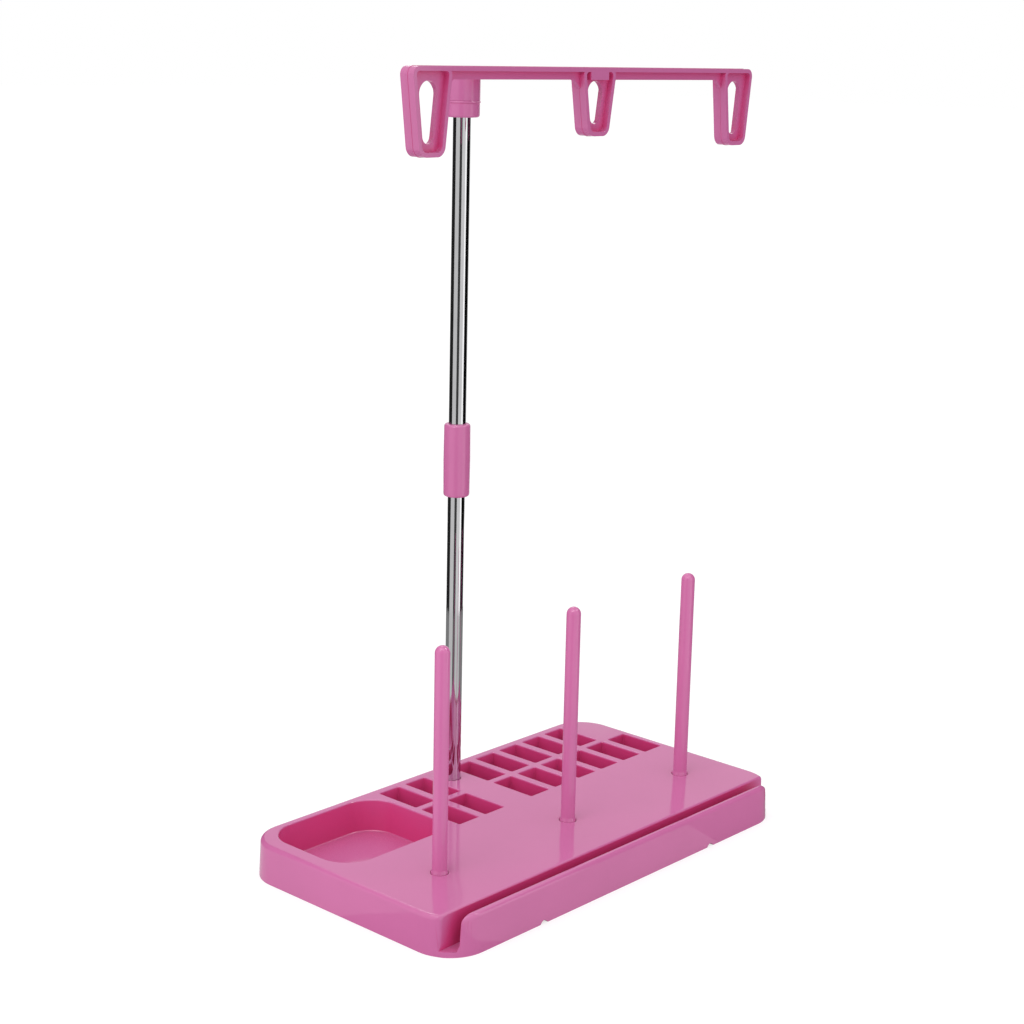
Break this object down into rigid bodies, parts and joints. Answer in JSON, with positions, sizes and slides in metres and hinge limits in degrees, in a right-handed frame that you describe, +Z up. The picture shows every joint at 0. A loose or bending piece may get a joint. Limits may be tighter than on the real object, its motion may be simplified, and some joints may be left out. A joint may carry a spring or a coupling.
{
  "type": "thread rack",
  "caption": "Thread rack: a pink base with bobbin pockets, a tray and a groove carries spool pins and a two-piece steel mast with a swivelling thread guide.",
  "frame": {"origin": "centre of the base's foot, on the surface that it stands on", "axes": "+Z up, along the mast and the pins; +X along the base, away from the tray; -Y is the front, where the groove runs"},
  "size_m": [0.2329, 0.129, 0.351],
  "materials": {
    "base_pink": "glossy moulded plastic",
    "pin_pink": "satin moulded plastic",
    "fittings_pink": "satin moulded plastic",
    "guide_pink": "satin moulded plastic",
    "tube_steel": "polished stainless tube"
  },
  "bodies": {
    "base": {"base_shell": "base_pink"},
    "pin_left": {"spool_pin_left": "pin_pink"},
    "pin_middle": {"spool_pin_middle": "pin_pink"},
    "pin_right": {"spool_pin_right": "pin_pink"},
    "lower_mast": {"mast_lower_tube": "tube_steel", "mast_coupler": "fittings_pink"},
    "upper_mast": {"mast_upper_tube": "tube_steel"},
    "bush": {"swivel_bush": "fittings_pink"},
    "guide": {"guide_arm": "guide_pink", "guide_bar": "guide_pink"}
  },
  "joints": [
    {"name": "pin_left_lift", "type": "slide", "parent": "base", "child": "pin_left", "axis": [0, 0, 1], "range_m": [0, 0.018]},
    {"name": "pin_middle_lift", "type": "slide", "parent": "base", "child": "pin_middle", "axis": [0, 0, 1], "range_m": [0, 0.018]},
    {"name": "pin_right_lift", "type": "slide", "parent": "base", "child": "pin_right", "axis": [0, 0, 1], "range_m": [0, 0.018]},
    {"name": "mast_lift", "type": "slide", "parent": "base", "child": "lower_mast", "axis": [0, 0, 1], "range_m": [0, 0.018]},
    {"name": "upper_mast_lift", "type": "slide", "parent": "lower_mast", "child": "upper_mast", "axis": [0, 0, 1], "range_m": [0, 0.02]},
    {"name": "bush_lift", "type": "slide", "parent": "upper_mast", "child": "bush", "axis": [0, 0, 1], "range_m": [0, 0.022]},
    {"name": "guide_swivel", "type": "hinge", "parent": "bush", "child": "guide", "pos_m": [0.0028, 0.0491, 0.34], "axis": [0, 0, 1], "continuous": true}
  ]
}
